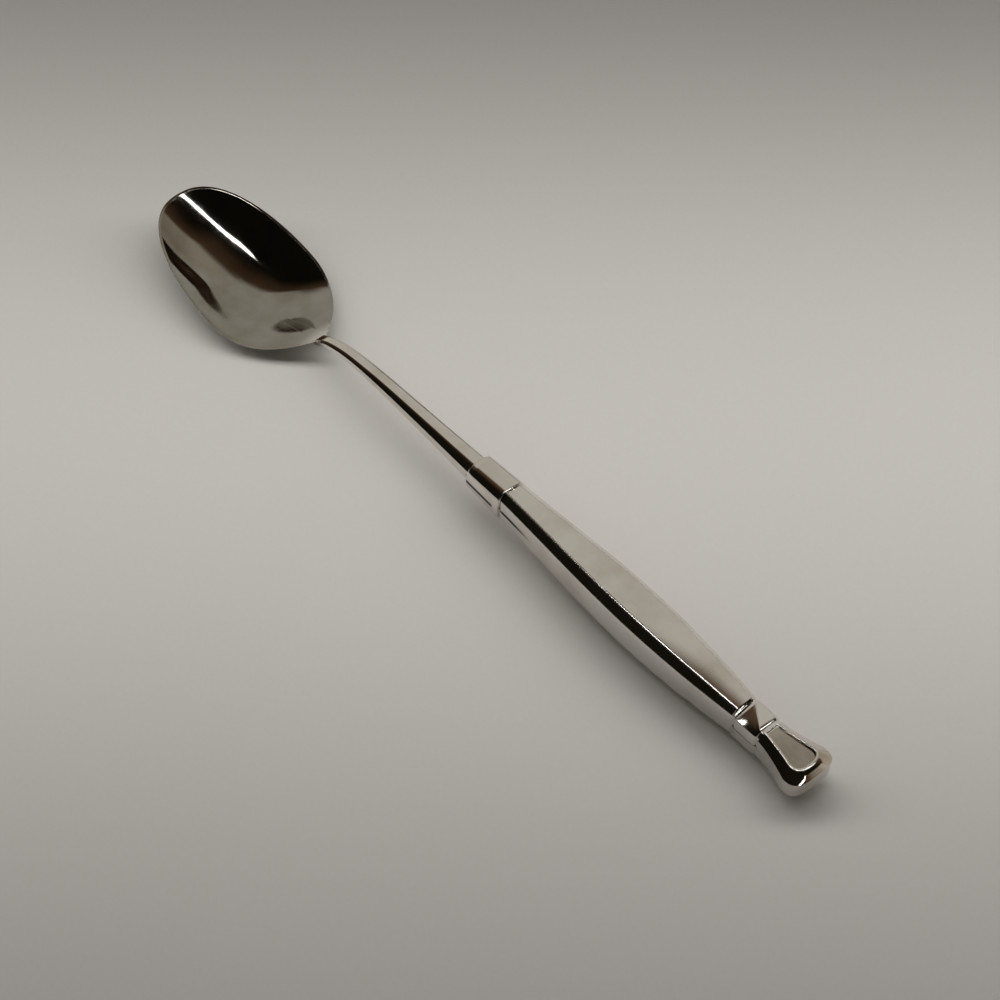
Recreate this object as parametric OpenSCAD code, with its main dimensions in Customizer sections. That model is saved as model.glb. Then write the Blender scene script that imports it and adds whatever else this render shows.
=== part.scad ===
// Iced tea spoon with a hollow handle, lying face up as it rests on a table.
// The spoon is drawn straight along the handle's axis: x runs from the bowl to the butt and is zero
// at the handle's mouth, and z is zero on the seam between the handle's halves. lay_down() then
// tips the spoon onto its bowl and its butt, with the origin in the middle of its footprint.

/* [Bowl] */
// Length of the bowl, from its tip to the neck
bowl_length = 50; // [40:1:60]
// Width of the bowl at its widest place
bowl_width = 29.4; // [24:0.2:34]
// Sag of the bowl's floor below a straight line from its tip to the neck
bowl_sag = 8.6; // [6:0.1:10]
// Thickness of the bowl's wall
bowl_wall = 1.2; // [0.8:0.1:1.6]
// Width of the rim's flat edge
rim_width = 0.5; // [0.4:0.1:1]
// Height of the rim's outer land
rim_land = 0.5; // [0.3:0.05:0.7]
// Width of the land at the very tip
tip_land = 1.6; // [1:0.1:2.4]
// Angle by which the bowl tips up from the handle's axis, in degrees
bowl_pitch = 11.5; // [4:0.5:15]
// Height by which the rim climbs at the heel to meet the neck
heel_rise = 6.6; // [4:0.1:8]

/* [Stem] */
// Length of the stem, from the neck to the handle's mouth
stem_length = 51.3; // [35:0.1:75]
// Width of the stem at the neck
neck_width = 3; // [2.4:0.1:4]
// Thickness of the stem at the neck
neck_thickness = 2.2; // [1.6:0.1:3]
// Width of the stem where it enters the handle
stem_width = 5.4; // [4.4:0.1:5.6]
// Thickness of the stem where it enters the handle
stem_thickness = 4.5; // [3.6:0.1:4.8]
// Drop of the neck below the handle's axis
neck_drop = 5.1; // [3:0.1:7]

/* [Tang] */
// Length of the tang inside the handle
tang_length = 38; // [24:1:50]
// Width of the tang
tang_width = 3; // [2.4:0.1:3.2]
// Thickness of the tang
tang_thickness = 2.4; // [1.8:0.1:2.8]
// Depth of each notch in the tang's sides
notch_depth = 0.45; // [0.2:0.05:0.6]
// Length of each notch
notch_length = 3; // [2:0.1:4]

/* [Ferrule] */
// Length of the ferrule
ferrule_length = 10.4; // [8:0.1:14]
// Width of the ferrule at its front rim
ferrule_front_width = 7.3; // [7:0.1:8]
// Thickness of the ferrule at its front rim
ferrule_front_thickness = 7.4; // [6.8:0.1:8]
// Width of the ferrule at its rear rim
ferrule_rear_width = 8; // [7.6:0.1:8.6]
// Thickness of the ferrule at its rear rim
ferrule_rear_thickness = 9; // [8.6:0.1:9.6]
// Length of the ferrule's front lip, which closes on the stem
lip_length = 1.2; // [0.8:0.1:1.8]

/* [Handle] */
// Length of the handle's body, from the ferrule to the block
body_length = 68.4; // [50:0.1:90]
// Width of the body just behind the ferrule
mouth_width = 6.8; // [6.6:0.1:7.6]
// Width of the body at its belly
belly_width = 10.4; // [8:0.1:13]
// Thickness of the body just behind the ferrule
mouth_thickness = 8.8; // [8:0.1:9.4]
// Thickness of the body at its belly
belly_thickness = 10.8; // [9.4:0.1:11.4]
// Width of the body's top flat just behind the ferrule
mouth_flat = 3.4; // [2.6:0.1:4.2]
// Width of the body's top flat at its belly
belly_flat = 6.8; // [5:0.1:7.4]
// Height of the body's side flat just behind the ferrule
mouth_side = 6; // [4.4:0.1:6.4]
// Height of the body's side flat at its belly
belly_side = 7; // [6:0.1:7.6]
// Thickness of the handle's sheet metal
sheet = 0.7; // [0.5:0.05:0.8]
// Width of the spigot on which the ferrule sits
spigot_width = 5.2; // [5:0.1:5.6]
// Thickness of the spigot on which the ferrule sits
spigot_thickness = 5.4; // [5:0.1:5.6]

/* [Block and butt] */
// Length of the faceted block between the body and the butt
block_length = 5.7; // [4:0.1:8]
// Width of the block
block_width = 6.7; // [6:0.1:7.2]
// Thickness of the block
block_thickness = 8.7; // [8:0.1:9]
// Depth of the grooves in front of the block and behind it
groove_depth = 0.35; // [0.2:0.05:0.5]
// Length of each of those grooves
groove_length = 0.8; // [0.5:0.1:1.2]
// Length of the flared butt
butt_length = 13.8; // [10:0.1:20]
// Width of the butt at its widest place
butt_width = 11.2; // [8.4:0.1:13]
// Thickness of the butt
butt_thickness = 8.4; // [7.8:0.1:9]
// Width of the butt's top flat where the butt begins
butt_front_flat = 3.8; // [3.2:0.1:4.4]
// Width of the butt's top flat at its widest place
butt_rear_flat = 7.2; // [5.6:0.1:8]
// Length of the butt's rounded end
butt_round = 3.8; // [2.4:0.1:5]
// Depth of the sunk panel in the butt
panel_depth = 0.5; // [0.3:0.05:0.55]
// Width of the border round the sunk panel
panel_border = 0.6; // [0.4:0.05:0.8]

/* [Joints] */
// Thickness of the brazed seam between the handle's halves
seam_thickness = 0.2; // [0.1:0.05:0.3]
// Thickness of the solder round the stem and under the ferrule
solder_gap = 0.15; // [0.1:0.05:0.2]
// Distance by which a cut runs past the face that it opens
overrun = 1; // [0.5:0.1:2]

/* [Hidden] */

// Counts of the steps in which curved shapes are drawn
BOWL_STEPS = 34;
STEM_STEPS = 18;
BODY_STEPS = 22;
BUTT_STEPS = 6;
END_STEPS = 7;
FLAT_STEPS = 4;
HALF_STEPS = 5;
PANEL_STEPS = 12;
ACROSS = 20;
FACETS = 8;

// Shape of the bowl's outline and section
WIDEST_SHARE = 0.57;
FRONT_SHARES = [2.1, 2.23];
BACK_SHARE = 2.2;
HEEL_SHARE = 0.7;
ROUND_SHARE = 0.9;
SAG_SHARE = 2.6;
NECK_SHARE = 7;
LEAST_INSIDE_SHARE = 0.6;

// Shape of the facets: flats as shares of the widths and heights that they lie on
NECK_FLAT_SHARE = 0.55;
STEM_FLAT_SHARE = 0.3;
STEM_SIDE_SHARE = 0.56;
STEM_SHARE = 1.6;
STEM_SPREAD = 1.3;
FERRULE_ROUND_SHARE = 0.75;
SPIGOT_FLAT_SHARE = 0.5;
BELLY_SHARE = 0.57;
UNDER_SIDE_SHARE = 0.9;
BODY_REAR_FLAT_SHARE = 0.6;
BLOCK_FRONT_FLAT_SHARE = 0.12;
BLOCK_REAR_FLAT_SHARE = 0.7;
BLOCK_SIDE_SHARE = 0.72;
BUTT_SIDE_SHARE = 0.61;
BUTT_EDGE_SHARE = 0.55;
FLARE_SHARE = 1.4;
NOTCH_SHARES = [0.3, 0.55, 0.8];
PANEL_ROUND_SHARE = 0.35;
END_SHARES = [1.7, 2];
END_FLAT_SHARE = 0.1;
END_SIDE_SHARE = 0.7;
SEAM_SHARE = 0.6;
PANEL_FRONT_SHARE = 0.03;

// Places along the axis
bowl_x = -stem_length - bowl_length;
body_x = ferrule_length;
block_x = body_x + body_length;
butt_x = block_x + block_length;
end_x = butt_x + butt_length;
spigot_x = lip_length + 2 * solder_gap;
shoulder = groove_length / 2;
cavity_x = end_x - butt_round - 2 * sheet;

function mix(a, b, share) = a + (b - a) * share;

// A closed eight-sided section, given by its width, its top flat, its thickness and its side flat
function octagon(w, flat, t, side, under = 1) = [
    [-w, side] / 2, [-flat, t] / 2, [flat, t] / 2, [w, side] / 2,
    [w, -side * under] / 2, [flat, -t] / 2, [-flat, -t] / 2, [-w, -side * under] / 2
];
function at(x, section) = [for (p = section) [x, p[0], p[1]]];

// Triangles of a skin drawn over rings of n points each, from one ring to the next
function skin(rings, n) = [
    for (i = [0 : rings - 2], j = [0 : n - 1])
        let (a = i * n + j, b = i * n + (j + 1) % n, c = a + n, d = b + n)
            each [[a, b, d], [a, d, c]]
];
// Triangles that close a ring by joining its upper points to its lower ones
function cap(first, n) = [
    for (j = [0 : n / 2 - 2])
        let (a = first + j, b = first + j + 1, c = first + n - 2 - j, d = first + n - 1 - j)
            each j < n / 4 - 1 ? [[a, d, b], [b, d, c]] : [[a, c, b], [a, d, c]]
];
function turned(faces) = [for (f = faces) [f[2], f[1], f[0]]];

// A solid skinned over a chain of rings, closed at both ends
module chain(rings) {
    n = len(rings[0]);
    last = (len(rings) - 1) * n;
    polyhedron(
        points = [for (r = rings) each r],
        faces = concat(skin(len(rings), n), cap(0, n), turned(cap(last, n)))
    );
}

// A sleeve skinned over a loop of rings, the last of which joins the first
module sleeve(rings) {
    n = len(rings[0]);
    count = len(rings);
    points = [for (r = rings) each r];
    loop = [
        for (f = skin(count + 1, n)) [for (k = f) k % (count * n)]
    ];
    polyhedron(points = points, faces = loop);
}

// The bowl's outline as a share of its half width, at a share of its length
function plan_share(t) = t < WIDEST_SHARE
    ? pow(1 - pow(1 - t / WIDEST_SHARE, FRONT_SHARES[0]), 1 / FRONT_SHARES[1])
    : 1 - pow((t - WIDEST_SHARE) / (1 - WIDEST_SHARE), BACK_SHARE);
function bowl_half(t) = let (least = t < WIDEST_SHARE ? tip_land / 2 : neck_width / 2)
    mix(least, bowl_width / 2, plan_share(t));
function inside_share(t) = let (x = t * bowl_length)
    plan_share(max(0, min(1, (x - rim_width) / (bowl_length - rim_width))));
function inside_half(t) =
    max(bowl_half(t) * LEAST_INSIDE_SHARE, (bowl_width / 2 - rim_width) * inside_share(t));

// The rim's height along the bowl, which meets the neck's top
function climb(t) = pow(max(0, (t - HEEL_SHARE) / (1 - HEEL_SHARE)), 2);
function rim_z(t) = -neck_drop + neck_thickness / 2
    + (1 - t) * bowl_length * tan(bowl_pitch) - heel_rise * (1 - climb(t));
// The floor hangs in an even curve between the tip and the neck
function floor_z(t) = mix(rim_z(0), rim_z(1), t) - bowl_sag * (1 - pow(abs(2 * t - 1), SAG_SHARE));
function inside_depth(t) = max(0, rim_z(t) - floor_z(t));
// The wall grows to the neck's thickness at the heel
function wall(t) = mix(bowl_wall, neck_thickness, climb(t));
// The rise of the bowl's round section from its middle to its rim, as a share
function section_share(s) =
    (1 - sqrt(1 - pow(ROUND_SHARE * s, 2))) / (1 - sqrt(1 - pow(ROUND_SHARE, 2)));

function bowl_ring(t) = let (
    x = bowl_x + t * bowl_length,
    half = bowl_half(t),
    inner = inside_half(t),
    top = rim_z(t),
    depth = inside_depth(t),
    under = depth + wall(t) - rim_land
) concat(
    [[x, -half, top]],
    [for (i = [0 : ACROSS - 3]) let (s = -cos(180 * i / (ACROSS - 3)))
        [x, inner * s, top - depth * (1 - section_share(abs(s)))]],
    [[x, half, top]],
    [for (i = [0 : ACROSS - 1]) let (s = cos(180 * i / (ACROSS - 1)))
        [x, half * s, top - rim_land - under * (1 - section_share(abs(s)))]]
);

// A faceted ring of the stem or the tang, with as many points as a ring of the bowl
function bar_ring(x, z, w, flat, t, side) = let (steps = ACROSS - 3) concat(
    [[x, -w / 2, z + side / 2]],
    [for (i = [0 : steps]) [x, mix(-flat, flat, i / steps) / 2, z + t / 2]],
    [[x, w / 2, z + side / 2], [x, w / 2, z - side / 2]],
    [for (i = [0 : steps]) [x, mix(flat, -flat, i / steps) / 2, z - t / 2]],
    [[x, -w / 2, z - side / 2]]
);
function stem_ring(share) = let (
    x = -stem_length * (1 - share),
    z = -neck_drop * pow(1 - share, NECK_SHARE),
    w = mix(neck_width, stem_width, pow(share, STEM_SHARE)),
    t = mix(neck_thickness, stem_thickness, pow(share, STEM_SHARE)),
    flat = w * mix(NECK_FLAT_SHARE, STEM_FLAT_SHARE, share)
) bar_ring(x, z, w, flat, t, t * STEM_SIDE_SHARE);
function straight_ring(x) = bar_ring(
    x, 0, stem_width, stem_width * STEM_FLAT_SHARE, stem_thickness, stem_thickness * STEM_SIDE_SHARE
);

// The tang's facets keep their bevel all the way, so that each notch has flat sides
tang_bevel = tang_thickness / 4;
tang_end = spigot_x + tang_length;
function tang_section(cut) = octagon(
    tang_width - cut, tang_width - cut - 2 * tang_bevel, tang_thickness, tang_thickness - 2 * tang_bevel
);
tang_places = concat(
    [[spigot_x, 0]],
    [for (share = NOTCH_SHARES) let (x = spigot_x + share * tang_length) each [
        [x - notch_length / 2, 0], [x - notch_length / 4, 2 * notch_depth],
        [x + notch_length / 4, 2 * notch_depth], [x + notch_length / 2, 0]
    ]],
    [[tang_end - notch_length / 2, 0], [tang_end, 2 * notch_depth]]
);
function tang_ring(place) = let (w = tang_width - place[1]) bar_ring(
    place[0], 0, w, w - 2 * tang_bevel, tang_thickness, tang_thickness - 2 * tang_bevel
);

forging = concat(
    [for (i = [0 : BOWL_STEPS - 1]) bowl_ring((1 - cos(180 * i / BOWL_STEPS)) / 2)],
    [for (i = [0 : STEM_STEPS - 1]) stem_ring(pow(i / STEM_STEPS, STEM_SPREAD))],
    [straight_ring(0), straight_ring(lip_length)],
    [for (place = tang_places) tang_ring(place)]
);

// Sections of the hollow handle: place, width, top flat, thickness and side flat
function bulge(u) = sin(180 * pow(u, ln(0.5) / ln(BELLY_SHARE)));
function body_size(u) = [
    body_x + shoulder + u * (body_length - shoulder - groove_length),
    mix(mix(mouth_width, block_width, u), belly_width, bulge(u)),
    mix(mix(mouth_flat, block_width * BODY_REAR_FLAT_SHARE, u), belly_flat, bulge(u)),
    mix(mix(mouth_thickness, block_thickness, u), belly_thickness, bulge(u)),
    mix(mouth_side, belly_side, bulge(u))
];
function block_size(x, flat_share) = [
    x, block_width, block_width * flat_share, block_thickness, block_thickness * BLOCK_SIDE_SHARE
];
function grooved(size) = [
    size[0], size[1] - 2 * groove_depth, size[2] - groove_depth, size[3] - 2 * groove_depth,
    size[4] - groove_depth
];
function flare(u) = pow(u, FLARE_SHARE);
function butt_size(u) = let (t = mix(block_thickness, butt_thickness, u)) [
    butt_x + groove_length + u * (butt_length - groove_length - butt_round),
    mix(block_width, butt_width, flare(u)),
    mix(butt_front_flat, butt_rear_flat, flare(u)),
    t,
    t * BUTT_SIDE_SHARE
];
// The butt's end is round in plan, and its top edge draws down as it closes
function end_size(u) = let (
    r = pow(1 - pow(u, END_SHARES[0]), 1 / END_SHARES[1]),
    w = mix(butt_width * END_FLAT_SHARE, butt_width, r)
) [
    end_x - butt_round * (1 - u),
    w,
    w * butt_rear_flat / butt_width,
    butt_thickness * mix(1, BUTT_EDGE_SHARE, pow(u, 2)),
    butt_thickness * BUTT_SIDE_SHARE * mix(1, END_SIDE_SHARE, pow(u, 2))
];
body_sizes = [for (i = [0 : BODY_STEPS]) body_size(i / BODY_STEPS)];
block_front = block_size(block_x, BLOCK_FRONT_FLAT_SHARE);
block_rear = block_size(butt_x, BLOCK_REAR_FLAT_SHARE);
handle_sizes = concat(
    [
        [spigot_x, spigot_width, spigot_width * SPIGOT_FLAT_SHARE, spigot_thickness,
            spigot_thickness * SPIGOT_FLAT_SHARE],
        [body_x, spigot_width, spigot_width * SPIGOT_FLAT_SHARE, spigot_thickness,
            spigot_thickness * SPIGOT_FLAT_SHARE]
    ],
    body_sizes,
    [
        grooved(block_size(block_x - groove_length / 2, BLOCK_FRONT_FLAT_SHARE)),
        block_front, block_rear,
        grooved(block_size(butt_x + groove_length / 2, BLOCK_REAR_FLAT_SHARE))
    ],
    [for (i = [0 : BUTT_STEPS]) butt_size(i / BUTT_STEPS)],
    [for (i = [1 : END_STEPS]) end_size(sin(90 * i / END_STEPS))]
);

// The inside follows the outside at the sheet's thickness and closes before the butt's end
hollow_sizes = [for (s = handle_sizes) if (s[0] <= cavity_x) s];
reach = [for (s = handle_sizes) if (s[0] > cavity_x) s][0];
function inset(s) = [
    s[0], s[1] - 2 * sheet, s[2] - sheet, s[3] - 2 * sheet, s[4] - sheet
];
function section_of(s) = octagon(s[1], s[2], s[3], s[4], UNDER_SIDE_SHARE);

// One half's wall at a place: the outside from left to right, then the inside back again
function half_section(s, side_share) = let (side = s[4] * side_share) [
    [-s[1], seam_thickness] / 2, [-s[1], side] / 2, [-s[2], s[3]] / 2,
    [s[2], s[3]] / 2, [s[1], side] / 2, [s[1], seam_thickness] / 2
];
// Past the hollow the half closes: its wall runs back along the seam instead
function seam_inside(s) = max(s[1] - 2 * sheet, s[1] * SEAM_SHARE);
function flat_inside(s) = [
    for (i = [HALF_STEPS : -1 : 0])
        [mix(-seam_inside(s), seam_inside(s), i / HALF_STEPS), seam_thickness] / 2
];
function shell_ring(s, side_share) = let (inner = half_section(inset(s), side_share)) at(s[0], concat(
    half_section(s, side_share),
    s[0] <= cavity_x ? [for (i = [HALF_STEPS : -1 : 0]) inner[i]] : flat_inside(s)
));
function shell_rings(side_share) = [for (s = handle_sizes) shell_ring(s, side_share)];

// Laying down: the spoon tips until its bowl and its butt touch the table together
function keel(ring) = [ring[0][0], min([for (p = ring) p[2]])];
keels = [for (i = [0 : BOWL_STEPS - 1]) keel(forging[i])];
butt_heel = [end_x - butt_round, -butt_thickness / 2];
lay_angle = max([for (k = keels) atan((butt_heel[1] - k[1]) / (butt_heel[0] - k[0]))]);
function laid_x(p) = p[0] * cos(lay_angle) + p[2] * sin(lay_angle);
function laid_z(p) = -p[0] * sin(lay_angle) + p[2] * cos(lay_angle);
handle_points = [for (r = shell_rings(1), p = r, side = [1, -1]) [p[0], p[1], side * p[2]]];
all_points = concat([for (r = forging) each r], handle_points);
laid_xs = [for (p = all_points) laid_x(p)];
laid_zs = [for (p = all_points) laid_z(p)];
module lay_down() {
    translate([-(min(laid_xs) + max(laid_xs)) / 2, 0, -min(laid_zs)])
        rotate([0, lay_angle, 0])
            children();
}

module bowl_and_stem() {
    color([0.66, 0.63, 0.58])
        lay_down()
            chain(forging);
}

// The sunk panel's cutter, which slopes with the butt's flat in the upper half's place
module panel_cutter() {
    base = butt_size(0);
    front = butt_size(PANEL_FRONT_SHARE);
    rear = butt_size(1);
    r = rear[2] / 2 - panel_border;
    slope = atan((rear[3] - base[3]) / 2 / (rear[0] - base[0]));
    translate([base[0], 0, base[3] / 2 - panel_depth])
        rotate([0, -slope, 0])
            linear_extrude(panel_depth + overrun)
                polygon(concat(
                    [[front[0] - base[0], -(front[2] / 2 - panel_border)]],
                    [for (i = [0 : PANEL_STEPS]) let (a = 180 * i / PANEL_STEPS)
                        [rear[0] - base[0] + r * PANEL_ROUND_SHARE * sin(a), -r * cos(a)]],
                    [[front[0] - base[0], front[2] / 2 - panel_border]]
                ));
}

module half_shell(side_share) {
    difference() {
        chain(shell_rings(side_share));
        panel_cutter();
    }
}

module handle_upper_shell() {
    color([0.7, 0.67, 0.62])
        lay_down()
            half_shell(1);
}

module handle_lower_shell() {
    color([0.6, 0.57, 0.52])
        lay_down()
            mirror([0, 0, 1])
                half_shell(UNDER_SIDE_SHARE);
}

// The braze fills the seam: a strip along both sides that closes round the butt's end
module handle_seam_braze() {
    outside = [for (s = handle_sizes) [s[0], s[1] / 2]];
    inside = concat([for (s = hollow_sizes) [s[0], inset(s)[1] / 2]], [[reach[0], seam_inside(reach) / 2]]);
    count = len(outside);
    inner_count = len(inside);
    color([0.35, 0.32, 0.28])
        lay_down()
            translate([0, 0, -seam_thickness / 2])
                linear_extrude(seam_thickness)
                    polygon(concat(
                        outside,
                        [for (i = [count - 1 : -1 : 0]) [outside[i][0], -outside[i][1]]],
                        [for (p = inside) [p[0], -p[1]]],
                        [for (i = [inner_count - 1 : -1 : 0]) inside[i]]
                    ));
}

// The ferrule's opening: round the stem at the lip, then round the spigot. Each flat of an opening is
// split into as many steps as the ferrule's round outside has for it
function split(section) = [
    for (j = [0 : FACETS - 1], k = [0 : FLAT_STEPS - 1])
        mix(section[j], section[(j + 1) % FACETS], k / FLAT_STEPS)
];
function stem_section(by) = split(octagon(
    stem_width + 2 * by, stem_width * STEM_FLAT_SHARE + by,
    stem_thickness + 2 * by, stem_thickness * STEM_SIDE_SHARE + by
));
function spigot_section(by) = split(octagon(
    spigot_width + 2 * by, spigot_width * SPIGOT_FLAT_SHARE + by,
    spigot_thickness + 2 * by, spigot_thickness * SPIGOT_FLAT_SHARE + by,
    UNDER_SIDE_SHARE
));
function rounded(v) = sign(v) * pow(abs(v), FERRULE_ROUND_SHARE);
function ferrule_section(share, less) = let (
    w = mix(ferrule_front_width, ferrule_rear_width, share) - less,
    t = mix(ferrule_front_thickness, ferrule_rear_thickness, share) - less
) [
    for (j = [0 : FACETS * FLAT_STEPS - 1])
        let (turn = 180 - 180 / FACETS - 360 * j / (FACETS * FLAT_STEPS))
        [w * rounded(cos(turn)), t * rounded(sin(turn))] / 2
];

module ferrule() {
    soft = groove_depth / 2;
    color([0.72, 0.69, 0.64])
        lay_down()
            sleeve([
                at(0, ferrule_section(0, 2 * soft)),
                at(soft, ferrule_section(soft / ferrule_length, 0)),
                at(ferrule_length - soft, ferrule_section(1, 0)),
                at(ferrule_length, ferrule_section(1, 2 * soft)),
                at(ferrule_length, spigot_section(solder_gap)),
                at(spigot_x, spigot_section(solder_gap)),
                at(lip_length, stem_section(solder_gap)),
                at(0, stem_section(solder_gap))
            ]);
}

module mouth_solder() {
    color([0.5, 0.48, 0.44])
        lay_down()
            sleeve([
                at(0, stem_section(solder_gap)), at(lip_length, stem_section(solder_gap)),
                at(lip_length, stem_section(0)), at(0, stem_section(0))
            ]);
}

module ferrule_solder() {
    color([0.5, 0.48, 0.44])
        lay_down()
            sleeve([
                at(spigot_x, spigot_section(solder_gap)), at(ferrule_length, spigot_section(solder_gap)),
                at(ferrule_length, spigot_section(0)), at(spigot_x, spigot_section(0))
            ]);
}

// The cement fills the handle round the tang: from the tang's end forward, then back outside
module handle_cement() {
    inner = [for (i = [len(tang_places) - 1 : -1 : 0]) at(tang_places[i][0], tang_section(tang_places[i][1]))];
    outer = [for (s = hollow_sizes) at(s[0], section_of(inset(s)))];
    close = at(reach[0], octagon(
        seam_inside(reach), seam_inside(reach) * SEAM_SHARE, seam_thickness, seam_thickness / 2
    ));
    color([0.55, 0.5, 0.42])
        lay_down()
            chain(concat(inner, outer, [close]));
}

bowl_and_stem();
ferrule();
handle_upper_shell();
handle_lower_shell();
handle_seam_braze();
mouth_solder();
ferrule_solder();
handle_cement();
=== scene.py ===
"""Iced tea spoon with a hollow handle, dressed for its picture."""

import logging
import math
from dataclasses import dataclass, replace
from typing import Callable, Sequence, Union

import bmesh
import bpy
from mathutils import Matrix, Vector


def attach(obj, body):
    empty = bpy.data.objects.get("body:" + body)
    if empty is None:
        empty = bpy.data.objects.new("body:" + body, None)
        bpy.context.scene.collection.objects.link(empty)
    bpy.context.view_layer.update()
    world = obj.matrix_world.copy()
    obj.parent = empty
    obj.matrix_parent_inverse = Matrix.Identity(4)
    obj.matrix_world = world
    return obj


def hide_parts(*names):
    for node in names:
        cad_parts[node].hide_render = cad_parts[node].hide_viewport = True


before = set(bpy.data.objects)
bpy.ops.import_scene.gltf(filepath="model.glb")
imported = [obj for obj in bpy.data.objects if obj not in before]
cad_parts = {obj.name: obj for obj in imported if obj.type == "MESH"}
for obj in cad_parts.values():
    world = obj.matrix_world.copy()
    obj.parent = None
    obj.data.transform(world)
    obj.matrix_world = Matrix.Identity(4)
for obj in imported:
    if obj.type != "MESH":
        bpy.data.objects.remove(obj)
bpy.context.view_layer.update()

log = logging.getLogger("spoon")

Ring = list[Vector]
Plan = list[tuple[float, float]]
Span = tuple[float, float]
Triple = tuple[float, float, float]
Sizes = tuple[float, float, float, float]
Material = bpy.types.Material
Input = Union["Sock", float, tuple]

MM = 0.001

# How the spoon lies on the table: tipped onto its bowl and its butt, and shifted in millimetres.
LAY_ANGLE = math.radians(2.7875)
LAY_SHIFT = Vector((1.4815, 0.0, 8.7907))
LAID = (
    Matrix.Scale(MM, 4) @ Matrix.Translation(LAY_SHIFT) @ Matrix.Rotation(LAY_ANGLE, 4, "Y")
)

# Distance in millimetres below which two points are joined.
WELD = 0.0005

# Numbers of the materials on worn edges and in the butt's sunk panel.
WORN, SUNK = 1, 2

# Tilts in degrees between which a narrow face rounds an edge. Below the first a face is level.
LEVEL, STEEP = 6.0, 60.0

# Area in square millimetres above which a level face is a sunk panel.
PANEL_AREA = 20.0

# Where every face keeps its polish: along the stem, and round the middle of the bowl.
STEM_SPAN = (-56.0, -3.0)
DISH_MIDDLE, DISH_REACH = -75.3, 10.0

# Faces in a section's rounded corner, and the most of a side that the corner takes up.
CORNER_STEPS = 4
CORNER_SHARE = 0.42

SILVER = (0.8, 0.775, 0.74)


def mix(a: float, b: float, share: float) -> float:
    """A value on the way from a to b."""
    return a + (b - a) * share


def clamp(v: float) -> float:
    """A value held between 0 and 1."""
    return max(0.0, min(1.0, v))


def ramp(v: float, low: float, high: float) -> float:
    """How far a value has come from low to high, held between 0 and 1."""
    return clamp((v - low) / (high - low))


def bent(v: float, power: float) -> float:
    """A value raised to a power, with its sign kept."""
    return math.copysign(abs(v) ** power, v)


def turn_to(obj: bpy.types.Object, axes: Sequence[Vector], place: Sequence[float]) -> None:
    """Puts an object at a place, turned to three axes.

    Args:
        obj: the object.
        axes: the directions of its X, Y and Z.
        place: its place, in metres.
    """
    m = Matrix.Identity(4)
    for i in range(3):
        m[i][0], m[i][1], m[i][2], m[i][3] = axes[0][i], axes[1][i], axes[2][i], place[i]
    obj.matrix_world = m


class Skin:
    """A closed mesh drawn through rings of points, each extruded from the one before.

    Sizes are millimetres along the spoon's own axis; laying it down comes last.
    """

    def __init__(self) -> None:
        """Starts without a ring."""
        self.bm = bmesh.new()
        self.first: list[bmesh.types.BMVert] = []
        self.last: list[bmesh.types.BMVert] = []

    def _edges(self, verts: list[bmesh.types.BMVert]) -> list[bmesh.types.BMEdge]:
        """The edges along a ring of vertices."""
        pairs = [*zip(verts, verts[1:]), (verts[-1], verts[0])]
        return [self.bm.edges.get(p) or self.bm.edges.new(p) for p in pairs]

    def ring(self, points: Ring) -> "Skin":
        """Extrudes the last ring onto new points.

        Args:
            points: the ring's places, as many as in the ring before.

        Returns:
            The skin itself.
        """
        if not self.last:
            self.first = self.last = [self.bm.verts.new(p) for p in points]
            self._edges(self.last)
            return self
        old = self.last
        made = bmesh.ops.extrude_edge_only(self.bm, edges=self._edges(old))["geom"]
        fresh = {v for v in made if isinstance(v, bmesh.types.BMVert)}
        new = []
        for v, p in zip(old, points):
            twin = next(e.other_vert(v) for e in v.link_edges if e.other_vert(v) in fresh)
            twin.co = p
            new.append(twin)
        self.last = new
        return self

    def rings(self, many: Sequence[Ring]) -> "Skin":
        """Draws the skin through several rings in order.

        Args:
            many: the rings, all of as many points.

        Returns:
            The skin itself.
        """
        for points in many:
            self.ring(points)
        return self

    def cap(self) -> "Skin":
        """Closes the first ring and the last one with a face each.

        Returns:
            The skin itself.
        """
        for verts in (self.first, self.last):
            bmesh.ops.contextual_create(self.bm, geom=self._edges(verts))
        return self

    def loop(self) -> "Skin":
        """Joins the last ring to the first one, as a sleeve's walls are."""
        bmesh.ops.bridge_loops(self.bm, edges=self._edges(self.first) + self._edges(self.last))
        return self

    def soften(self, rows: Sequence[int], count: int, width: float, steps: int) -> "Skin":
        """Rounds the edges along chosen rings.

        Args:
            rows: numbers of the rings, in the order in which they were drawn.
            count: points in a ring.
            width: how far the rounding reaches on each side, in millimetres.
            steps: faces across the rounding.

        Returns:
            The skin itself.
        """
        self.bm.verts.ensure_lookup_table()
        edges: list[bmesh.types.BMEdge] = []
        for row in rows:
            edges += self._edges([self.bm.verts[row * count + i] for i in range(count)])
        bmesh.ops.bevel(
            self.bm, geom=edges, offset=width, segments=steps, profile=0.5,
            affect="EDGES", clamp_overlap=True, material=-1,
        )
        return self


def mark_worn(bm: bmesh.types.BMesh, widest: float) -> None:
    """Gives the narrow faces that round the edges, and the sunk panel, materials of their own.

    Args:
        bm: the mesh, in millimetres along the spoon's axis.
        widest: area in square millimetres below which a face counts as narrow.
    """
    for face in bm.faces:
        at = face.calc_center_median()
        dished = math.hypot(at.x - DISH_MIDDLE, at.y) < DISH_REACH
        if at.x < STEM_SPAN[1] and (at.x > STEM_SPAN[0] or dished):
            continue
        tilt = math.degrees(math.acos(min(1.0, abs(face.normal.z))))
        if LEVEL < tilt < STEEP and face.calc_area() < widest:
            face.material_index = WORN
        elif tilt < LEVEL and face.calc_area() > PANEL_AREA:
            face.material_index = SUNK


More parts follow.
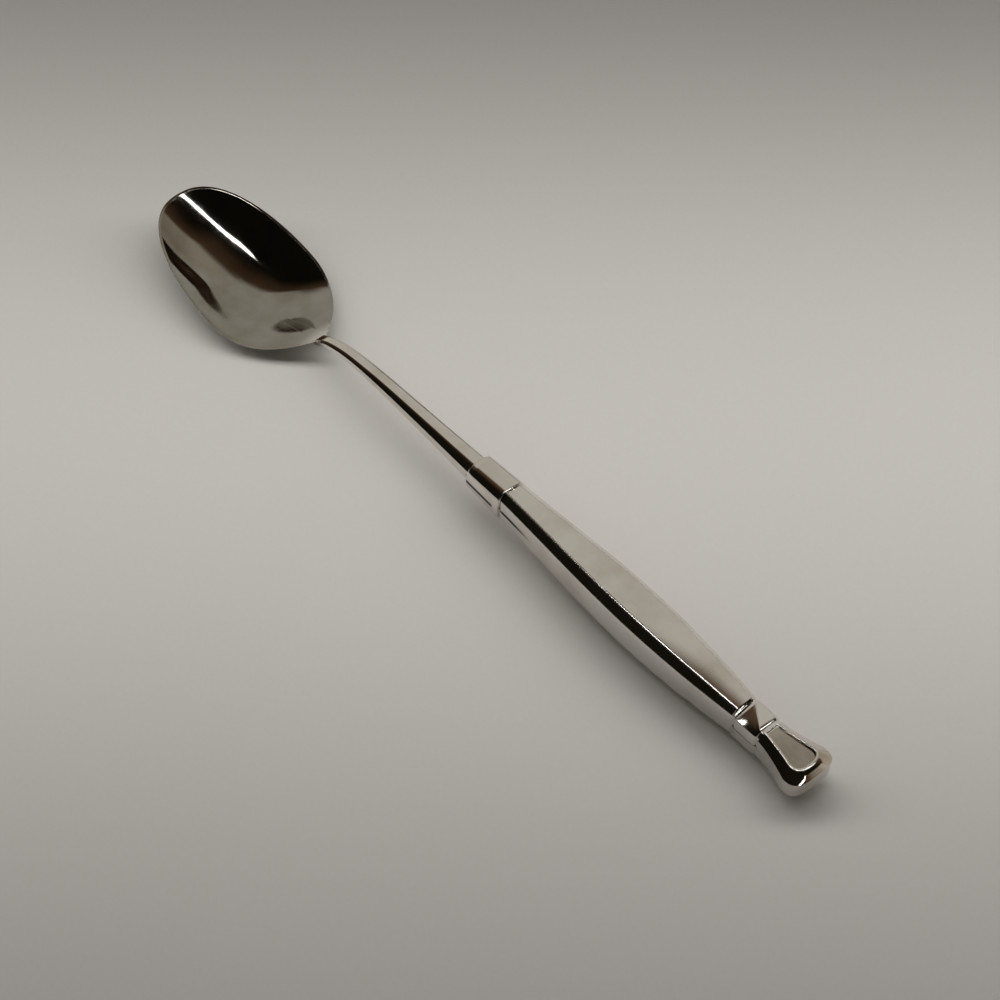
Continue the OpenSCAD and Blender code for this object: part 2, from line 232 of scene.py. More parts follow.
def piece(
    name: str, skins: Sequence[Skin], node: str, cut: float, worn: float
) -> bpy.types.Object:
    """Makes one object of the skins and lays it down on the table.

    Args:
        name: the piece's name.
        skins: the skins that it is made of.
        node: the CAD node that it stands for.
        cut: angle in degrees from which an edge is drawn sharp.
        worn: area in square millimetres below which the faces of its rounded edges look worn.

    Returns:
        The object, riding on the spoon's only body.
    """
    whole = bmesh.new()
    for skin in skins:
        bmesh.ops.remove_doubles(skin.bm, verts=skin.bm.verts, dist=WELD)
        bmesh.ops.recalc_face_normals(skin.bm, faces=skin.bm.faces)
        part = bpy.data.meshes.new(name + "_part")
        skin.bm.to_mesh(part)
        whole.from_mesh(part)
        bpy.data.meshes.remove(part)
        skin.bm.free()
    whole.normal_update()
    mark_worn(whole, worn)
    bmesh.ops.transform(whole, matrix=LAID, verts=whole.verts)
    for face in whole.faces:
        face.smooth = True
    for edge in whole.edges:
        if len(edge.link_faces) == 2 and edge.calc_face_angle(0.0) > math.radians(cut):
            edge.smooth = False
    mesh = bpy.data.meshes.new(name)
    whole.to_mesh(mesh)
    whole.free()
    obj = bpy.data.objects.new(name, mesh)
    bpy.context.scene.collection.objects.link(obj)
    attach(obj, "root")
    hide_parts(node)
    return obj


@dataclass(frozen=True)
class Section:
    """An eight-sided section with rounded corners, square to the spoon's axis.

    Attributes:
        x: its place along the axis.
        width, thick: its whole width and its whole height.
        flat, side: the flats on top and below, and the flat on each side.
        edge: how far the rounding of a corner reaches.
        lift: how far its middle lies above the axis.
        under: the side flat's height below the middle, as a share of that above it.
        near: how far the top flat reaches to the left, where that isn't half the flat.
    """

    x: float
    width: float
    flat: float
    thick: float
    side: float
    edge: float
    lift: float = 0.0
    under: float = 1.0
    near: float | None = None

    def corners(self) -> Plan:
        """The eight corners, from the left side over the top and back below.

        Returns:
            The corners, each across and up.
        """
        w, f, t, s = self.width / 2, self.flat / 2, self.thick / 2, self.side / 2
        near = f if self.near is None else self.near
        low = -s * self.under
        return [(-w, s), (-near, t), (f, t), (w, s), (w, low), (f, -t), (-f, -t), (-w, low)]

    def line(self, upper: bool) -> Plan:
        """The four corners of the upper half or of the lower one, from left to right."""
        c = self.corners()
        return c[:4] if upper else c[:3:-1]

    def smaller(self, shift: float, less: Sizes, edge: float) -> "Section":
        """A smaller section beside this one.

        Args:
            shift: how far it lies along the axis from this one.
            less: what its width, flat, thickness and side lose.
            edge: how far the rounding of its corners reaches.

        Returns:
            The smaller section.
        """
        width, flat, thick, side = less
        return replace(
            self, x=self.x + shift, width=self.width - width, flat=self.flat - flat,
            thick=self.thick - thick, side=self.side - side, edge=edge,
        )

    def _place(self, p: Vector) -> Vector:
        """A flat point set at the section's place."""
        return Vector((self.x, p.x, p.y + self.lift))

    def _rounded(self, corners: Plan, ends: bool) -> Ring:
        """Rounds each corner that has a neighbour on both sides.

        Args:
            corners: flat corners in order.
            ends: whether the first and last corners are ends of an open line.

        Returns:
            The rounded line's points.
        """
        pts = [Vector(c) for c in corners]
        last, out = len(pts) - 1, []
        for i, p in enumerate(pts):
            if ends and i in (0, last):
                out.append(self._place(p))
                continue
            a, b = pts[i - 1] - p, pts[(i + 1) % len(pts)] - p
            reach = min(self.edge, CORNER_SHARE * a.length, CORNER_SHARE * b.length)
            a, b = p + a.normalized() * reach, p + b.normalized() * reach
            for k in range(CORNER_STEPS + 1):
                u = k / CORNER_STEPS
                out.append(self._place(a * (1 - u) ** 2 + p * (2 * u * (1 - u)) + b * u * u))
        return out

    def whole(self) -> Ring:
        """The closed outline."""
        return self._rounded(self.corners(), False)

    def half(self, gap: float, seam_edge: float, upper: bool) -> Ring:
        """The outline of one half, from the seam on the left to the seam on the right.

        Args:
            gap: height of the seam's edge above the joint plane.
            seam_edge: how far the half's edge is eased at the seam.
            upper: the upper half, or the lower one.

        Returns:
            The open line's points.
        """
        sign = 1.0 if upper else -1.0
        w, eased = self.width / 2, sign * (gap + seam_edge)
        line = self._rounded([(-w, eased), *self.line(upper), (w, eased)], True)
        left, right = (seam_edge - w, sign * gap), (w - seam_edge, sign * gap)
        return [self._place(Vector(left)), *line, self._place(Vector(right))]


class Sock:
    """A number's socket that takes part in Python sums."""

    def __init__(self, paint: "Paint", socket: bpy.types.NodeSocket) -> None:
        """Args:
            paint: the node tree's maker.
            socket: the output socket.
        """
        self.paint = paint
        self.socket = socket

    def _sum(self, word: str, a: Input, b: Input = 0.0) -> "Sock":
        """Adds a Math node."""
        return self.paint.node("ShaderNodeMath", {"operation": word}, {0: a, 1: b})

    def __add__(self, other: Input) -> "Sock":
        """self + other."""
        return self._sum("ADD", self, other)

    def __radd__(self, other: Input) -> "Sock":
        """other + self."""
        return self._sum("ADD", other, self)

    def __sub__(self, other: Input) -> "Sock":
        """self - other."""
        return self._sum("SUBTRACT", self, other)

    def __rsub__(self, other: Input) -> "Sock":
        """other - self."""
        return self._sum("SUBTRACT", other, self)

    def __mul__(self, other: Input) -> "Sock":
        """self * other."""
        return self._sum("MULTIPLY", self, other)

    def size(self) -> "Sock":
        """The value without its sign."""
        return self._sum("ABSOLUTE", self)

    def step(self, low: float, high: float) -> "Sock":
        """A smooth step from 0 to 1.

        Args:
            low: value up to which the step is 0.
            high: value from which it is 1.

        Returns:
            The step.
        """
        return self.paint.node(
            "ShaderNodeMapRange", {"interpolation_type": "SMOOTHSTEP"},
            {"Value": self, "From Min": low, "From Max": high},
        )


class Paint:
    """A material's or a world's node tree, written node by node."""

    def __init__(self, tree: bpy.types.NodeTree) -> None:
        """Args:
            tree: the tree, which is emptied first.
        """
        self.tree = tree
        tree.nodes.clear()

    def node(self, kind: str, settings: dict, inputs: dict, out: Union[int, str] = 0) -> Sock:
        """Adds a node.

        Args:
            kind: the node's type.
            settings: its own settings, set first.
            inputs: values or links for its sockets, by name or number.
            out: the output that is wanted.

        Returns:
            The wanted output.
        """
        n = self.tree.nodes.new(kind)
        for key, value in settings.items():
            if key == "stops":
                self._stops(n.color_ramp, value)
            else:
                setattr(n, key, value)
        for key, value in inputs.items():
            if isinstance(value, Sock):
                self.tree.links.new(value.socket, n.inputs[key])
            else:
                n.inputs[key].default_value = value
        return Sock(self, n.outputs[out])

    @staticmethod
    def _stops(ramp: bpy.types.ColorRamp, stops: Sequence[Span]) -> None:
        """Sets a ramp's stops.

        Args:
            ramp: the ramp.
            stops: each stop's place and its grey value.
        """
        while len(ramp.elements) < len(stops):
            ramp.elements.new(0.5)
        for element, (place, grey) in zip(ramp.elements, stops):
            element.position, element.color = place, (grey, grey, grey, 1.0)

    def blend(self, share: Input, a: Input, b: Input, way: str = "MIX") -> Sock:
        """Mixes two colours.

        Args:
            share: how much of the second colour shows.
            a: the first colour.
            b: the second colour.
            way: how the second acts on the first.

        Returns:
            The mixed colour.
        """
        full = [v if isinstance(v, Sock) else (*v, 1.0) for v in (a, b)]
        return self.node(
            "ShaderNodeMix", {"data_type": "RGBA", "blend_type": way},
            {0: share, 6: full[0], 7: full[1]}, 2,
        )

    def place(self) -> Sock:
        """The object's own coordinates."""
        return self.node("ShaderNodeTexCoord", {}, {}, "Object")

    def parts(self, vector: Sock) -> tuple[Sock, ...]:
        """Takes a vector apart.

        Args:
            vector: the vector.

        Returns:
            The three numbers.
        """
        n = self.tree.nodes.new("ShaderNodeSeparateXYZ")
        self.tree.links.new(vector.socket, n.inputs[0])
        return tuple(Sock(self, output) for output in n.outputs)

    def stretched(self, vector: Sock, scale: Triple, turn: float) -> Sock:
        """Coordinates turned about the vertical and stretched.

        Args:
            vector: the coordinates.
            scale: how finely a pattern runs along each axis.
            turn: the turn in radians.

        Returns:
            The new coordinates.
        """
        return self.node(
            "ShaderNodeMapping", {},
            {"Vector": vector, "Rotation": (0.0, 0.0, turn), "Scale": scale},
        )

    def noise(self, vector: Sock, scale: float, detail: float, rough: float = 0.5) -> Sock:
        """Cloudy noise between 0 and 1.

        Args:
            vector: the coordinates.
            scale: how fine it is.
            detail: how many finer layers it has.
            rough: how strongly those show.

        Returns:
            The noise.
        """
        return self.node(
            "ShaderNodeTexNoise", {},
            {"Vector": vector, "Scale": scale, "Detail": detail, "Roughness": rough},
        )

    def bump(self, height: Sock, strength: float, depth: float) -> Sock:
        """A normal tilted by a height.

        Args:
            height: the height, between 0 and 1.
            strength: how strongly it tilts the light.
            depth: its full depth, in metres.

        Returns:
            The normal.
        """
        return self.node(
            "ShaderNodeBump", {}, {"Strength": strength, "Distance": depth, "Height": height}
        )

    def surface(self, shader: Sock, kind: str = "ShaderNodeOutputMaterial") -> None:
        """Joins a shader to the output."""
        n = self.tree.nodes.new(kind)
        self.tree.links.new(shader.socket, n.inputs["Surface"])

    def coat(self, inputs: dict) -> None:
        """Joins a Principled shader with these inputs to the output."""
        self.surface(self.node("ShaderNodeBsdfPrincipled", {}, inputs))


def new_paint(name: str) -> tuple[Material, Paint]:
    """Starts a material.

    Args:
        name: the material's name.

    Returns:
        The material and the maker of its node tree.
    """
    mat = bpy.data.materials.new(name)
    mat.use_nodes = True
    return mat, Paint(mat.node_tree)


def dress(obj: bpy.types.Object, *mats: Material) -> bpy.types.Object:
    """Gives an object its materials.

    Args:
        obj: a piece of the script's own, or a CAD node, whose one material is exchanged.
        mats: the material, and those on its worn edges and in its sunk panel if it has them.

    Returns:
        The object.
    """
    if obj.material_slots:
        for slot in obj.material_slots:
            slot.material = mats[0]
        return obj
    for mat in mats:
        obj.data.materials.append(mat)
    return obj


@dataclass(frozen=True)
class PolishedMetal:
    """Mirror-polished warm silver with the fine marks of use. Places and heights are metres.

    Attributes:
        bowl: a darker tint over the bowl, painted shade that stands in for the darker reflections
            the bowl shows.
        seam_dark: the dark colour put on the metal along the seam.
        smear, scratches: roughness that each of them adds to the gloss.
        relief, relief_depth: how strongly the scratches tilt the light, and their depth.
        bowl_shade_end, bowl_shade_slant: where the bowl's painted shade fades out, and how that
            slants across.
        seam_dark_half: heights off the seam between which the darkening fades.
        seam_dark_span: where the darkening begins, stops behind the collar, begins again and ends.
    """

    name: str
    colour: Triple = SILVER
    tarnish: Triple = (0.66, 0.62, 0.56)
    # Painted shade: this darker tint on the bowl stands in for the darker reflections that the bowl
    # shows.
    bowl: Triple = (0.40, 0.385, 0.35)
    # The darker colour that the metal takes beside the seam, near the handle's front.
    seam_dark: Triple = (0.02, 0.016, 0.012)
    gloss: float = 0.055
    smear: float = 0.08
    scratches: float = 0.05
    relief: float = 0.04
    relief_depth: float = 0.00005
    bowl_shade_end: Span = (-0.054, -0.049)
    bowl_shade_slant: float = 0.1
    seam_dark_half: Span = (0.00036, 0.0005)
    seam_dark_span: tuple[Span, Span, Span, Span] = (
        (0.0005, 0.0009), (0.0099, 0.0104), (0.0124, 0.0128), (0.0165, 0.0235),
    )

    def seam(self, x: Sock, z: Sock) -> Sock:
        """How dark the metal is made along the seam at a place along the spoon and at a height.

        Args:
            x: the place, in metres.
            z: the height, in metres.

        Returns:
            A share.
        """
        height = (z - LAY_SHIFT.z * MM) + (x - LAY_SHIFT.x * MM) * math.tan(LAY_ANGLE)
        begin, stop, again, end = [x.step(*span) for span in self.seam_dark_span]
        line = (1.0 - height.size().step(*self.seam_dark_half)) * (1.0 - end)
        return line * (begin - stop + again)

    def build(self) -> Material:
        """Returns:
            The material.
        """
        mat, p = new_paint(self.name)
        place = p.place()
        x, y, z = p.parts(place)
        clouds = p.noise(place, scale=90.0, detail=4.0, rough=0.55)
        smears = p.noise(p.stretched(place, (0.5, 2.0, 2.0), turn=0.3), 160.0, 5.0, 0.6)
        hair = p.noise(p.stretched(place, (0.06, 1.0, 1.0), turn=0.12), 5200.0, 2.0, 0.6)
        cross = p.noise(p.stretched(place, (1.0, 0.07, 1.0), turn=0.5), 3900.0, 2.0, 0.6)
        marks = hair.step(0.6, 0.75) + cross.step(0.62, 0.78)
        base = p.blend(clouds.step(0.35, 0.75), self.colour, self.tarnish)
        # Painted shade: the bowl's colour is darkened to stand in for its darker reflections.
        bowl_painted_shade = p.blend(clouds.step(0.3, 0.8), self.bowl, self.tarnish, "MULTIPLY")
        base = p.blend(1.0 - (x + y * self.bowl_shade_slant).step(*self.bowl_shade_end), base, bowl_painted_shade)
        p.coat({
            # The metal is made darker along the seam, in stretches near the handle's front.
            "Base Color": p.blend(self.seam(x, z), base, self.seam_dark),
            "Metallic": 1.0,
            "Roughness": self.gloss + smears.step(0.45, 0.8) * self.smear + marks * self.scratches,
            "Normal": p.bump(hair + cross, self.relief, self.relief_depth),
        })
        return mat


@dataclass(frozen=True)
class SeamMetal:
    """The brazed seam: dark at the handle's mouth, polished over farther back.

    Attributes:
        fade, wander: where along the spoon it brightens, and how far that border wanders.
        gloss, grain: roughness of the polished braze, and what the tarnish adds to it.
    """

    name: str = "seam_metal"
    dark: Triple = (0.03, 0.025, 0.02)
    bright: Triple = SILVER
    fade: Span = (0.018, 0.025)
    wander: float = 0.004
    gloss: float = 0.07
    grain: float = 0.3

    def build(self) -> Material:
        """Returns:
            The material.
        """
        mat, p = new_paint(self.name)
        place = p.place()
        wander = p.noise(place, scale=400.0, detail=3.0) * self.wander
        back = (p.parts(place)[0] + wander).step(*self.fade)
        grain = p.noise(place, scale=3000.0, detail=2.0)
        p.coat({
            "Base Color": p.blend(back, self.dark, self.bright),
            "Metallic": 1.0,
            "Roughness": self.gloss + grain * (1.0 - back) * self.grain,
        })
        return mat


@dataclass(frozen=True)
class DullMetal:
    """Soft solder or set filler: matt, mottled and finely pitted.

    Attributes:
        light, dark: the two tones of its mottling.
        scale, finer: how fine the mottling is, and how many times finer the pits are.
        pit_rough, pit_depth: roughness that the pits add, and their depth in metres.
        relief: how strongly the pits tilt the light.
    """

    name: str
    light: Triple
    dark: Triple
    metallic: float
    rough: float
    scale: float
    finer: float = 6.0
    pit_rough: float = 0.15
    pit_depth: float = 0.0001
    relief: float = 0.3

    def build(self) -> Material:
        """Returns:
            The material.
        """
        mat, p = new_paint(self.name)
        place = p.place()
        mottle = p.noise(place, self.scale, detail=4.0, rough=0.6)
        pits = p.noise(place, self.scale * self.finer, detail=3.0, rough=0.7)
        p.coat({
            "Base Color": p.blend(mottle.step(0.3, 0.7), self.light, self.dark),
            "Metallic": self.metallic,
            "Roughness": self.rough + pits * self.pit_rough,
            "Normal": p.bump(pits, self.relief, self.pit_depth),
        })
        return mat


@dataclass
class Bowl:
    """The forged bowl with its stem, and the tang that the handle hides. Sizes are millimetres."""

    # Outline of the bowl, from its tip to its neck.
    start: float = -101.3
    length: float = 50.0
    width: float = 29.4
    widest: float = 0.57
    tip_powers: Span = (2.1, 2.23)
    tip_fullness: float = 0.93
    heel_power: float = 2.2
    around: int = 176

    # Its sheet, its rim and the rim's rounded edges.
    wall: float = 1.2
    rim: float = 0.5
    land: float = 0.5
    rim_edge: float = 0.18
    rim_steps: int = 3

    # Side view: how the rim runs, and how deep the middle lies.
    pitch: float = 11.5
    sag: float = 8.6
    heel_rise: float = 6.6
    heel: float = 0.7
    deepest: float = 0.52

    # The dish: a circle's arc with a flare near the rim. Pairs are for the tip and for the heel.
    round_share: float = 0.78
    flare: Span = (3.1, 2.4)
    flare_start: Span = (0.42, 0.28)
    flare_fade: Span = (0.125, 0.375)
    heel_fade: Span = (0.6, 0.85)
    inside: int = 30
    core: float = 0.05

    # The stem. Pairs are for the neck and for the collar.
    neck_width: float = 3.0
    neck_thick: float = 2.2
    neck_drop: float = 5.1
    stem_length: float = 51.3
    stem_width: float = 5.4
    stem_thick: float = 4.5
    stem_growth: float = 1.6
    stem_flat: Span = (0.55, 0.3)
    stem_side: float = 0.56
    stem_edge: Span = (0.22, 0.38)
    stem_bend: int = 7
    stem_rows: int = 48
    stem_crowd: float = 1.3
    stem_end: float = 1.2

    # Rows of the stem inside the bowl's heel: how far ahead and below, and the share of the size.
    buried: tuple[Triple, ...] = ((2.4, 1.3, 0.6), (1.2, 0.6, 0.85))

    # The notched tang.
    tang_start: float = 1.5
    tang_length: float = 38.0
    tang_width: float = 3.0
    tang_thick: float = 2.4
    tang_edge: float = 0.1
    notches: Triple = (0.3, 0.55, 0.8)
    notch_reach: float = 1.5
    notch_depth: float = 0.9

    def plan(self, t: float) -> float:
        """The outline.

        Args:
            t: share of the length.

        Returns:
            A share of the half width.
        """
        if t < self.widest:
            inward, outward = self.tip_powers
            return (1 - (1 - t / self.widest) ** inward) ** (1 / outward)
        return 1 - ((t - self.widest) / (1 - self.widest)) ** self.heel_power

    def half(self, t: float) -> float:
        """The outline's half width, fuller towards the tip.

        Args:
            t: share of the length.

        Returns:
            Half the width.
        """
        if t < self.widest:
            return self.width / 2 * self.plan(t) ** self.tip_fullness
        return mix(self.neck_width / 2, self.width / 2, self.plan(t))

    def inner(self, t: float) -> float:
        """Half the width of the inside."""
        share = ramp(t * self.length, self.rim, self.length)
        return self.half(share) * (1 - 2 * self.rim / self.width)

    def rim_z(self, t: float) -> float:
        """The rim's run from the raised tip down to the neck.

        Args:
            t: share of the length.

        Returns:
            The height.
        """
        slope = math.tan(math.radians(self.pitch)) * self.length
        neck = self.neck_thick / 2 - self.neck_drop
        climb = ramp(t, self.heel, 1.0) ** 2
        return neck + (1 - t) * slope - self.heel_rise * (1 - climb)

    def rise(self, s: float, t: float) -> float:
        """The dish's rise from its middle to its edge, as a share.

        Args:
            s: how far out a place lies, from 0 in the middle to 1 at the edge.
            t: its share of the length.

        Returns:
            The rise, 0 in the middle and 1 at the edge.
        """
        def arc(s: float) -> float:
            """Depth of a circle's arc."""
            return 1 - math.sqrt(1 - (self.round_share * s) ** 2)

        heel, side = ramp(t, *self.heel_fade), ramp(t, *self.flare_fade)
        side = side * side * (3 - 2 * side)
        out = max(0.0, s - mix(*self.flare_start, heel))
        return arc(s) / arc(1.0) + mix(*self.flare, heel) * side * out ** 2 * (1 - s)

    def line_z(self, x: float) -> float:
        """Height of the straight line from the tip to the neck."""
        return mix(self.rim_z(0.0), self.rim_z(1.0), clamp((x - self.start) / self.length))

    def outline(self, inner: bool) -> Ring:
        """The outline in plan, from the tip round by the neck and back.

        Args:
            inner: the inside's edge, or the rim's outer edge.

        Returns:
            Points with their heights.
        """
        start = self.rim / self.length if inner else 0.0
        out = []
        for i in range(self.around):
            turn = 2 * math.pi * (i + 0.5) / self.around
            t = mix(start, 1.0, (1 - math.cos(turn)) / 2)
            half = self.inner(t) if inner else self.half(t)
            side = 1.0 if turn < math.pi else -1.0
            out.append(Vector((self.start + t * self.length, side * half, self.rim_z(t))))
        return out

    def dish(self, edge: Ring, share: float, drop: float) -> Ring:
        """A ring of the dish, from its middle at 0 to its edge at 1.

        Args:
            edge: the dish's edge.
            share: how far out the ring lies.
            drop: how far below the inside's floor the dish lies in its middle.

        Returns:
            The ring's points.
        """
        middle = self.start + self.deepest * self.length
        out = []
        for p in edge:
            up = self.rise(share, (p.x - self.start) / self.length)
            x = mix(middle, p.x, share)
            lift = p.z - self.line_z(p.x)
            out.append(Vector((x, p.y * share, self.line_z(x) + mix(-self.sag - drop, lift, up))))
        return out

    def bowl_skin(self) -> Skin:
        """Draws the bowl from the middle of its inside over the rim to that of its underside.

        Returns:
            The bowl's skin.
        """
        inner, outer = self.outline(True), self.outline(False)
        land = [Vector((p.x, p.y, p.z - self.land)) for p in outer]
        turns = [(i + self.core) / self.inside for i in range(self.inside)]
        shares = [math.sin(math.pi / 2 * turn) for turn in turns]
        skin = Skin().rings([
            *[self.dish(inner, share, 0.0) for share in shares],
            inner, outer, land,
            *[self.dish(land, share, self.wall) for share in reversed(shares)],
        ])
        rims = [self.inside + k for k in range(3)]
        return skin.cap().soften(rims, self.around, self.rim_edge, self.rim_steps)

    def bar(self, x: float, share: float, lift: float, size: float = 1.0) -> Section:
        """A section of the stem.

        Args:
            x: its place.
            share: its share of the way from the neck to the collar.
            lift: how far its middle lies above the axis.
            size: share of the stem's full size.

        Returns:
            The section.
        """
        grown = share ** self.stem_growth
        w = mix(self.neck_width, self.stem_width, grown) * size
        t = mix(self.neck_thick, self.stem_thick, grown) * size
        flat, edge = mix(*self.stem_flat, share), mix(*self.stem_edge, share)
        return Section(x, w, w * flat, t, t * self.stem_side, edge, lift)

    def stem(self) -> list[Section]:
        """The stem, from inside the bowl's heel to inside the collar.

        Returns:
            The sections.
        """
        rows = [
            self.bar(-self.stem_length - ahead, 0.0, -self.neck_drop - below, size)
            for ahead, below, size in self.buried
        ]
        for i in range(self.stem_rows + 1):
            share = (i / self.stem_rows) ** self.stem_crowd
            left = 1 - share
            rows.append(self.bar(
                -self.stem_length * left, share, -self.neck_drop * left ** self.stem_bend
            ))
        return [*rows, self.bar(self.stem_end, 1.0, 0.0)]

    def tang(self) -> list[Section]:
        """The tang, with its notches.

        Returns:
            The sections.
        """
        reach, depth = self.notch_reach, self.notch_depth
        places = [(self.tang_start, 0.0)]
        for share in self.notches:
            x = self.tang_start + share * self.tang_length
            places += [(x - reach, 0.0), (x - reach / 2, depth)]
            places += [(x + reach / 2, depth), (x + reach, 0.0)]
        end = self.tang_start + self.tang_length
        places += [(end - reach, 0.0), (end, depth)]
        thick, half = self.tang_thick, self.tang_thick / 2
        widths = [(x, self.tang_width - cut) for x, cut in places]
        return [Section(x, w, w - half, thick, half, self.tang_edge) for x, w in widths]

    def build(self, *mats: Material) -> bpy.types.Object:
        """Makes the forging and dresses it.

        Args:
            mats: the materials of its polished faces and of its worn edges.

        Returns:
            The forging, bowl and stem.
        """
        stem = Skin().rings([s.whole() for s in self.stem() + self.tang()]).cap()
        made = piece(
            "bowl_and_stem_forging", [self.bowl_skin(), stem], "bowl_and_stem",
            cut=50.0, worn=0.09,
        )
        return dress(made, *mats)


@dataclass
class Collar:
    """The collar at the handle's mouth. Sizes are millimetres, in pairs of width and thickness.

    Attributes:
        front, rear: its size at its two ends.
        roundness: 1 for an ellipse, less for a fuller section.
        around, rows: points in a ring, and rows of faces between the two lips.
        margin: how far those rows stay from the ends.
        front_lip, rear_lip: rings that round an end: how far from it, and how far sunk.
        mouth, bore: the openings for the stem and for the handle.
        step: the places between which one opening turns into the other.
    """

    length: float = 10.4
    front: Span = (7.3, 7.4)
    rear: Span = (8.0, 9.0)
    roundness: float = 0.75
    around: int = 64
    rows: int = 8
    margin: float = 0.5
    front_lip: tuple[Span, ...] = ((0.0, 0.5), (0.1, 0.24), (0.28, 0.06))
    rear_lip: tuple[Span, ...] = ((0.4, 0.0), (0.24, 0.06), (0.1, 0.2), (0.0, 0.45))
    mouth: Span = (5.9, 5.0)
    bore: Span = (5.8, 6.0)
    step: Span = (1.3, 1.5)

    def oval(self, x: float, half: Span, power: float = 1.0) -> Ring:
        """A ring round the axis.

        Args:
            x: its place.
            half: half its width and half its thickness.
            power: 1 for an ellipse, less for a fuller shape.

        Returns:
            The ring's points.
        """
        out = []
        for i in range(self.around):
            turn = math.pi - 2 * math.pi * i / self.around
            across, up = bent(math.cos(turn), power), bent(math.sin(turn), power)
            out.append(Vector((x, half[0] * across, half[1] * up)))
        return out

    def outside(self, x: float, sunk: float = 0.0) -> Ring:
        """A ring of the outside.

        Args:
            x: its place.
            sunk: how far it lies below the outside.

        Returns:
            The ring's points.
        """
        share = clamp(x / self.length)
        w, t = (mix(a, b, share) / 2 - sunk for a, b in zip(self.front, self.rear))
        return self.oval(x, (w, t), self.roundness)

    def opening(self, x: float, sizes: Span) -> Ring:
        """A ring of the opening, of a width and a thickness."""
        return self.oval(x, (sizes[0] / 2, sizes[1] / 2))

    def build(self, *mats: Material) -> bpy.types.Object:
        """Makes the collar and dresses it.

        Args:
            mats: the materials of its polished faces and of its worn edges.

        Returns:
            The collar.
        """
        end = self.length
        shares = [i / self.rows for i in range(self.rows + 1)]
        skin = Skin().rings([
            self.opening(0.0, self.mouth),
            *[self.outside(x, sunk) for x, sunk in self.front_lip],
            *[self.outside(mix(self.margin, end - self.margin, share)) for share in shares],
            *[self.outside(end - x, sunk) for x, sunk in self.rear_lip],
            self.opening(end, self.bore),
            self.opening(self.step[1], self.bore),
            self.opening(self.step[0], self.mouth),
        ])
        made = piece("collar", [skin.loop()], "ferrule", cut=40.0, worn=0.2)
        return dress(made, *mats)


